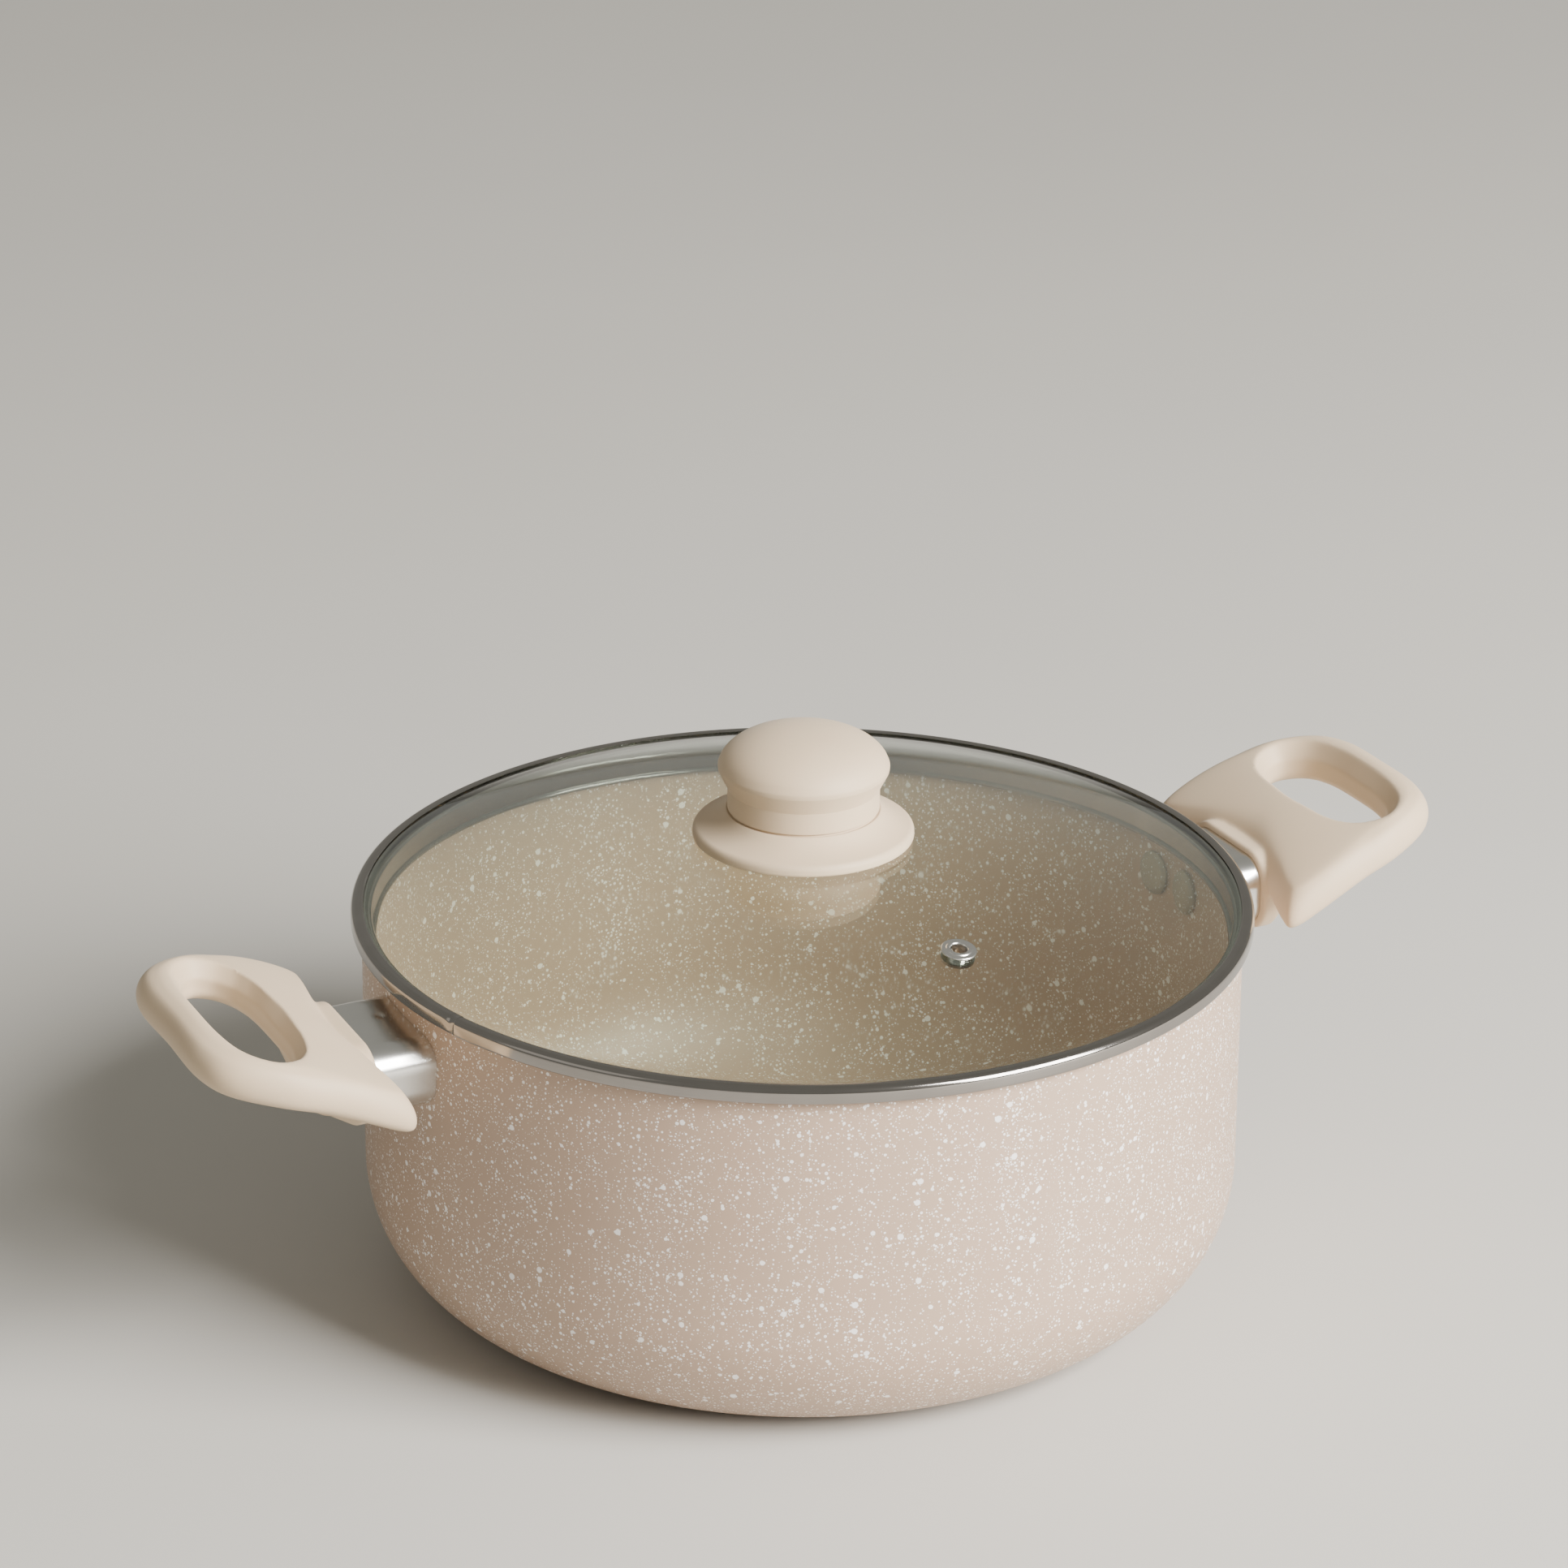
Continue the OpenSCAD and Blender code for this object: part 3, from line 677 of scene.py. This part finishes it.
def make_rivets(side, left):
    """Two flat rivet heads inside the wall, each with softened edges, and their tails in the sleeve."""
    head = rounded([
        (0, -1.85, 0), (RIVET_R * 0.8, -1.8, 2.0), (RIVET_R, -1.0, 0.45), (RIVET_R, -0.25, 0),
        (SHANK_R, -0.25, 0), (SHANK_R, TAIL_FROM, 0), (TAIL_R, TAIL_FROM, 0.3), (TAIL_R, TAIL_END, 0.5),
        (0, TAIL_END, 0),
    ])
    bm = bmesh.new()
    for turn in (-RIVET_TURN, RIVET_TURN):
        spin = Matrix.Rotation(turn, 4, "Z") @ Matrix.Translation((INNER_R, 0, SLEEVE_Z))
        spin = spin @ Matrix.Rotation(math.pi / 2, 4, "Y")
        add_turned(bm, head, full_turn(RIVET_STEPS), spin)
    piece = new_piece(f"{side}_rivet_heads", bm)
    piece.data.transform(to_side(left))
    finish_piece(smooth(piece), "pot", "speckled_coat", f"{side}_rivets", look=RIVET_COAT)


# Handles ----------------------------------------------------------------------------------

# Half outlines from tip to pot end, as shares of handle length (from the tip) and of half width
OUTER_HALF = [
    (0, 0), (0.005, 0.45), (0.105, 0.71), (0.365, 0.885), (0.66, 0.945),
    (0.90, 0.96), (1.04, 0.925), (1.045, 0.80), (0.985, 0.47), (0.93, 0),
]
HOLE_HALF = [
    (0.213, 0), (0.218, 0.30), (0.258, 0.515), (0.35, 0.64), (0.45, 0.62),
    (0.52, 0.52), (0.552, 0.405), (0.568, 0.295), (0.573, 0.15), (0.573, 0),
]
LOOP_STEPS = 240
SECTION_STEPS = 80
FLANK = 6.2
DISH = 3.4
BLEND_VOXEL = 0.5


def whole(half):
    """A half outline with its mirror image, as points of the handle."""
    full = half + [(x, -y) for x, y in half[-2:0:-1]]
    return [(TIP_U - x * HANDLE_L, y * WING_W) for x, y in full]


def grip_z(u, s):
    """Middle height of the grip: it falls towards the pot and is a little crowned across."""
    k = (TIP_U - u) / HANDLE_L
    return SLEEVE_Z + 2.7 + GRIP_RISE * (1 - k * k) + GRIP_CROWN * (1 - (s / WING_W) ** 2)


def bar_section(bar):
    """Section of the grip from the finger hole (0) outwards (bar): throat, dish, top, flank, underside."""
    h = GRIP_T / 2
    flank = min(FLANK, 0.42 * bar)
    return [
        (0.0, -0.66 * h), (0.0, -0.25 * h), (0.0, 0.12 * h), (0.25, 0.26 * h), (0.5 * DISH, 0.62 * h),
        (0.9 * DISH, 0.93 * h), (1.15 * DISH, 1.0 * h),
        ((1.15 * DISH + bar - flank) / 2, 1.02 * h), (bar - flank, 0.97 * h), (bar - 0.5 * flank, 0.80 * h),
        (bar - 0.14 * flank, 0.42 * h), (bar, -0.05 * h), (bar - 0.10 * flank, -0.55 * h),
        (bar - 0.5 * flank, -0.90 * h), (bar - 1.1 * flank, -1.0 * h), (0.15 * bar, -0.96 * h),
    ]


def grip_mesh():
    """The loop of the grip, drawn for the right side."""
    bm = bmesh.new()
    outer = spline(whole(OUTER_HALF), LOOP_STEPS)
    hole = spline(whole(HOLE_HALF), LOOP_STEPS)
    rows = []
    for o, t in zip(outer, hole):
        across = Vector(o) - Vector(t)
        bar = across.length
        away = across / bar
        row = []
        for a, h in spline(bar_section(bar), SECTION_STEPS):
            p = Vector(t) + away * a
            row.append(bm.verts.new((p.x, p.y, grip_z(p.x, p.y) + h)))
        rows.append(row)
    grid_faces(bm, rows)
    return bm


def add_collar(bm):
    """The collar round the sleeve and its blend into the grip."""
    rings = [
        (COLLAR_U, COLLAR_W - 1.6, COLLAR_H - 1.6, COLLAR_ROUND - 0.8, SLEEVE_Z),
        (COLLAR_U + 0.3, COLLAR_W - 0.5, COLLAR_H - 0.5, COLLAR_ROUND - 0.25, SLEEVE_Z),
        (COLLAR_U + 0.9, COLLAR_W, COLLAR_H, COLLAR_ROUND, SLEEVE_Z),
        (COLLAR_U + 4.5, COLLAR_W, COLLAR_H, COLLAR_ROUND, SLEEVE_Z),
        (TANG_END + 0.8, COLLAR_W * 0.86, COLLAR_H - 2.6, COLLAR_ROUND * 0.95, SLEEVE_Z + 1.3),
        (TANG_END + 3.5, COLLAR_W * 0.80, COLLAR_H * 0.72, COLLAR_ROUND * 0.8, SLEEVE_Z + 3.6),
        (HUB_END, COLLAR_W * 0.70, GRIP_T * 0.6, 3.4, grip_z(HUB_END, 0) - 1),
    ]
    loft(bm, [bar_ring(*ring) for ring in rings])


def cut_bar(body, name, start, end, width, height, radius, z):
    """Cuts a straight rounded slot along the handle out of body."""
    tool = bmesh.new()
    loft(tool, [bar_ring(u, width, height, radius, z) for u in (start, end)])
    cut(body, new_piece(name, tool))


def make_handles():
    """Two soft-touch loop handles, each with its collar, screw boss and sockets."""
    boss_z = foot_of("right_handle").z
    bm = grip_mesh()
    add_collar(bm)
    round_bar(bm, SCREW_U, BOSS_R, boss_z, SLEEVE_Z - 6, soft=0.8)
    body = new_piece("right_grip", bm)
    apply_modifier(body, "REMESH", mode="VOXEL", voxel_size=BLEND_VOXEL * MM)
    apply_modifier(body, "SMOOTH", factor=0.5, iterations=3)
    cut_bar(body, "socket_tool", COLLAR_U - 2, SLEEVE_END + 0.05,
            SLEEVE_W + SOCKET_PLAY, SLEEVE_H + SOCKET_PLAY, SLEEVE_ROUND, SLEEVE_Z)
    cut_bar(body, "tang_tool", SLEEVE_END - 1, TANG_END + 0.05, TANG_SLOT_W, TANG_SLOT_T, 0.2, TANG_Z)
    tool = bmesh.new()
    round_bar(tool, SCREW_U, SCREW_HEAD_HOLE_R, boss_z - 2, boss_z + SCREW_HEAD_HOLE)
    round_bar(tool, SCREW_U, SCREW_HOLE_R, boss_z, SLEEVE_Z - 4)
    cut(body, new_piece("screw_tool", tool))
    smooth(body, 38)
    other = body.copy()
    other.data = body.data.copy()
    other.name = "left_grip"
    bpy.context.scene.collection.objects.link(other)
    other.data.transform(to_side(True))
    finish_piece(body, "pot", "soft_touch", "right_handle")
    finish_piece(other, "pot", "soft_touch", "left_handle")


# Shallow marks pressed into the sleeve: distance from the middle of the pot, across, up, width, depth
PRESS_MARKS = [
    (128.0, -3.0, SLEEVE_H / 2, 1.1, 0.28),
    (126.0, -15.6, SLEEVE_H / 2 - 2.2, 2.6, 0.35),
]
SLEEVE_STEPS = 30
SECTION_REACH = 0.8
WALL_GAP = 0.06


def make_sleeve(side, left):
    """Steel sleeve between wall and handle, with two small marks where it was pressed on to the pot."""
    place = to_side(left)
    section = rounded_box(SLEEVE_W, SLEEVE_H, SLEEVE_ROUND, 0.08)
    fine = []
    for (x0, z0), (x1, z1) in zip(section, section[1:] + section[:1]):
        parts = max(1, round(math.hypot(x1 - x0, z1 - z0) / SECTION_REACH))
        fine += [(x0 + (x1 - x0) * k / parts, z0 + (z1 - z0) * k / parts) for k in range(parts)]
    bm = bmesh.new()
    rows = []
    steps = SLEEVE_STEPS
    for inset, order in ((0.0, range(steps + 1)), (SLEEVE_T, range(steps, -1, -1))):
        for k in order:
            row = []
            for s, h in fine:
                scale = Vector((s * (1 - 2 * inset / SLEEVE_W), h * (1 - 2 * inset / SLEEVE_H)))
                true = place @ Vector((0, scale.x * MM, (SLEEVE_Z + scale.y) * MM))
                start = math.sqrt(POT_R**2 - (true.y / MM) ** 2) + WALL_GAP
                u = start + (SLEEVE_END - start) * k / steps
                sink = sum(d * math.exp(-((u - mu) ** 2 + (s - ms) ** 2 + (h - mh) ** 2) / w**2)
                           for mu, ms, mh, w, d in PRESS_MARKS) if inset == 0 else 0
                out = Vector((s, h)).normalized() * sink
                row.append(bm.verts.new((u, scale.x - out.x, SLEEVE_Z + scale.y - out.y)))
            rows.append(row)
    grid_faces(bm, rows)
    piece = new_piece(f"{side}_sleeve", bm)
    piece.data.transform(place)
    # The sleeve gets the lighter steel, whose brightness is partly a painted pale reflection.
    finish_piece(smooth(piece, 40), "pot", "polished_steel", f"{side}_flame_guard", look=STEEL_WITH_PAINTED_PALE_REFLECTION)


# Lid --------------------------------------------------------------------------------------

def at_vent():
    """Placement of the vent: on the dome, leaning with it, +Z out of the glass."""
    return (Matrix.Rotation(VENT_TURN, 4, "Z") @ Matrix.Translation((0, 0, SPHERE_Z * MM))
            @ Matrix.Rotation(VENT_LEAN, 4, "Y") @ Matrix.Translation((0, 0, SPHERE_R * MM)))


def make_glass():
    """Domed glass with a flat rolled edge, a hole for the knob screw and one for the vent."""
    steps = 44
    radii = [KNOB_HOLE + (DOME_EDGE_R - 1.5 - KNOB_HOLE) * k / steps for k in range(steps + 1)]
    outline = rounded(
        [(r, dome_z(r), 0) for r in radii]
        + [(DOME_EDGE_R, GLASS_TOP, 5.0), (GLASS_R, GLASS_TOP, 1.6), (GLASS_R, GLASS_FOOT, 1.6),
           (DOME_EDGE_R - 1.0, GLASS_FOOT, 4.0)]
        + [(r, under_dome_z(r), 0) for r in reversed(radii) if under_dome_z(r) > GLASS_FOOT + 0.8]
    )
    pane = lathe("glass_dome", outline)
    bm = bmesh.new()
    round_bar(bm, 0.0, VENT_HOLE, -GLASS - 3, 3)
    tool = new_piece("vent_tool", bm)
    tool.data.transform(at_vent())
    cut(pane, tool)
    finish_piece(smooth(pane, 35), "lid", "lid_glass", "lid_glass")


SEAM_TURN = math.radians(194)
SEAM_REACH = math.radians(5)
SEAM_LIFT = 0.22
WELD_TURN = math.radians(0.9)
WELD_DEPTH = 0.35
# Angles, in degrees from the seam, where the band needs finer steps
SEAM_ANGLES = (-3.2, -2.4, -1.8, -1.4, -1.1, -0.8, -0.5, -0.25, -0.02, 0.02, 0.4, 0.8, 2.0)
CURL_R = 0.45


def seam_bulge(angle, r, z):
    """At the seam the outer end of the band stands proud and fades back; the weld is a small dent."""
    if r < BAND_R - LIP_W - 0.6 or z < POT_H - 0.2:
        return 0.0, 0.0
    past = (angle - SEAM_TURN) % TAU
    lift = SEAM_LIFT * (1 - past / SEAM_REACH) if past < SEAM_REACH else 0.0
    spot = (angle - SEAM_TURN + WELD_TURN + math.pi) % TAU - math.pi
    weld = WELD_DEPTH * math.exp(-((spot * BAND_R) ** 2 + (z - BAND_TOP + 0.9) ** 2) / 1.6)
    return lift * 0.6 - weld, -lift * 0.3 - weld * 0.6


def make_band():
    """Rolled steel band: lip over the glass, wall, flange, skirt in the pot with a curled foot."""
    mid = STEEL / 2
    skirt = SKIRT_R - mid
    curl = [(skirt - CURL_R + CURL_R * math.cos(a), BAND_FOOT + 0.7 + CURL_R * math.sin(a))
            for a in [math.radians(-t) for t in range(300, -1, -20)]]
    path = rounded(
        [(x, z, 0) for x, z in curl]
        + [(skirt, POT_H + mid, 0.9), (BAND_R - mid, POT_H + mid, 0.8),
           (BAND_R - mid, BAND_TOP - mid, 1.7), (BAND_R - LIP_W + 0.4, BAND_TOP - mid, 0.25),
           (BAND_R - LIP_W, BAND_TOP - mid - 0.15, 0)],
        closed=False, step=0.16,
    )
    angles = sorted(full_turn() + [SEAM_TURN + math.radians(d) for d in SEAM_ANGLES])
    piece = lathe("rim_band", strip(path, STEEL), angles, seam_bulge)
    # The band gets the darkened steel, whose darkness is partly a painted dark reflection.
    finish_piece(smooth(piece, 60), "lid", "polished_steel", "lid_band")


def make_vent():
    """Rolled eyelet: a flat ring with a raised mouth, and its turned-out foot under the glass."""
    outline = rounded([
        (VENT_BORE, VENT_FOOT, 0.2), (VENT_BORE, VENT_MOUTH, 0.55), (VENT_BORE + 1.15, VENT_MOUTH, 0.5),
        (VENT_BORE + 1.35, VENT_PLATE, 0.3), (VENT_FLANGE - 0.2, VENT_PLATE, 0.35), (VENT_FLANGE, 0.05, 0.25),
        (VENT_TUBE, 0.05, 0), (VENT_TUBE, VENT_FOOT + 0.6, 0.1), (VENT_TUBE + 1.0, VENT_FOOT + 0.6, 0.2),
        (VENT_TUBE + 1.0, VENT_FOOT, 0.2),
    ], step=0.3)
    piece = lathe("vent_ring", outline, full_turn(VENT_STEPS))
    piece.data.transform(at_vent())
    # The eyelet gets the lighter steel, whose brightness is partly a painted pale reflection.
    finish_piece(smooth(piece, 60), "lid", "polished_steel", "vent_eyelet", look=STEEL_WITH_PAINTED_PALE_REFLECTION)


# Flare of the knob's foot: radius, height above its shoulder
FLARE = [(29.0, 0.15), (26.6, 1.05), (24.4, 2.2), (22.9, 3.35), (22.0, 4.2)]
CAP_STEPS = 24
CAP_SQUARENESS = 0.96


def make_knob():
    """Foot flared on to the glass, and the mushroom cap on its neck."""
    top = foot_of("knob_foot").z + 3.1
    low = dome_z(FOOT_R) + 0.02
    outline = rounded(
        [(KNOB_BORE, dome_z(3) + 0.03, 0), (15.0, dome_z(15) + 0.03, 0), (FOOT_R - 0.2, low, 0.15),
         (FOOT_R, low + 0.5, 0.3), (FOOT_R, top - 0.3, 1.9)]
        + [(r, top + h, 0) for r, h in FLARE]
        + [(21.35, NECK_Z - 0.25, 0.4), (20.4, NECK_Z - 0.55, 0.2), (20.4, NECK_Z - 0.05, 0),
           (KNOB_BORE, NECK_Z - 0.05, 0)],
    )
    finish_piece(smooth(lathe("knob_base", outline), 50), "lid", "soft_touch", "knob_foot")
    dome = []
    for k in range(1, CAP_STEPS + 1):
        a = math.pi / 2 * k / CAP_STEPS
        height = EQUATOR_Z + (KNOB_TOP - EQUATOR_Z) * math.sin(a)
        dome.append((CAP_R * math.cos(a) ** CAP_SQUARENESS, height, 0))
    dome[-1] = (0, KNOB_TOP, 0)
    outline = rounded(
        [(INSERT_R, NECK_Z, 0), (20.2, NECK_Z, 0.2), (20.6, NECK_Z + 0.1, 0.1), (NECK_R, NECK_Z + 0.25, 0.3),
         (NECK_R, UNDERCUT_Z, 0.5), (CAP_R - 0.1, EQUATOR_Z - 0.3, 1.6), (CAP_R, EQUATOR_Z + 1.0, 1.5)]
        + dome[3:] + [(0, INSERT_TOP, 0), (INSERT_R, INSERT_TOP, 0)],
    )
    finish_piece(smooth(lathe("knob_top", outline), 50), "lid", "soft_touch", "knob_cap")


# Camera, light and floor ------------------------------------------------------------------

VIEW_TURN = math.radians(28.24)
VIEW_DOWN = math.radians(22.71)
VIEW_ROLL = math.radians(0.471)
VIEW_FROM = (-0.0054, -1.6954, 0.8560)
LENS = 153.5
LAMP_AIM = (0, 0, 0.08)
FLOOR_HALF = 12000
SURROUND = (0.82, 0.81, 0.74, 1)
SURROUND_STRENGTH = 0.42


def make_camera():
    """A long lens, a little above the pot and to the left of its middle line."""
    data = bpy.data.cameras.new("camera")
    data.lens = LENS
    data.sensor_width = 36
    data.clip_start = 0.1
    camera = bpy.data.objects.new("camera", data)
    bpy.context.scene.collection.objects.link(camera)
    camera.matrix_world = (
        Matrix.Rotation(-VIEW_TURN, 4, "Z") @ Matrix.Translation(VIEW_FROM)
        @ Matrix.Rotation(math.pi / 2 - VIEW_DOWN, 4, "X") @ Matrix.Rotation(VIEW_ROLL, 4, "Z")
    )
    bpy.context.scene.camera = camera


def add_lamp(name, turn, rise, distance, size, watts, colour):
    """A soft square lamp aimed at the lid. Turn is measured from the camera's side, to its right."""
    data = bpy.data.lights.new(name, "AREA")
    data.shape = "RECTANGLE"
    data.size, data.size_y = size
    data.energy = watts
    data.color = colour
    lamp = bpy.data.objects.new(name, data)
    bpy.context.scene.collection.objects.link(lamp)
    around = math.radians(turn) - VIEW_TURN
    up = math.radians(rise)
    away = Vector((math.sin(around) * math.cos(up), -math.cos(around) * math.cos(up), math.sin(up)))
    lamp.location = Vector(LAMP_AIM) + away * distance
    lamp.rotation_mode = "QUATERNION"
    lamp.rotation_quaternion = away.to_track_quat("Z", "Y")


def make_studio():
    """Plain pale floor, soft lamps and a pale surround."""
    bm = bmesh.new()
    bmesh.ops.create_grid(bm, x_segments=8, y_segments=8, size=FLOOR_HALF)
    floor = new_piece("floor", bm)
    floor.data.materials.append(studio_floor())
    world = bpy.data.worlds.new("surround")
    world.use_nodes = True
    back = world.node_tree.nodes["Background"]
    back.inputs[0].default_value = SURROUND
    back.inputs[1].default_value = SURROUND_STRENGTH
    bpy.context.scene.world = world
    add_lamp("key", 58, 30, 2.2, (1.3, 1.3), 205, (1.0, 0.985, 0.965))
    add_lamp("fill", -60, 30, 2.6, (1.6, 1.2), 3, (1.0, 0.95, 0.88))


# Build ------------------------------------------------------------------------------------

make_camera()
make_studio()
make_pot()
make_handles()
for side_name, is_left in (("left", True), ("right", False)):
    make_rivets(side_name, is_left)
    make_sleeve(side_name, is_left)
make_glass()
make_band()
make_vent()
make_knob()

slots = {part["node"]: part["material_slot"] for part in frame["record"]["subparts"]}
for node_name, cad_node in frame["nodes"].items():
    cad_node.data.materials.clear()
    cad_node.data.materials.append(FINISH[slots[node_name]])
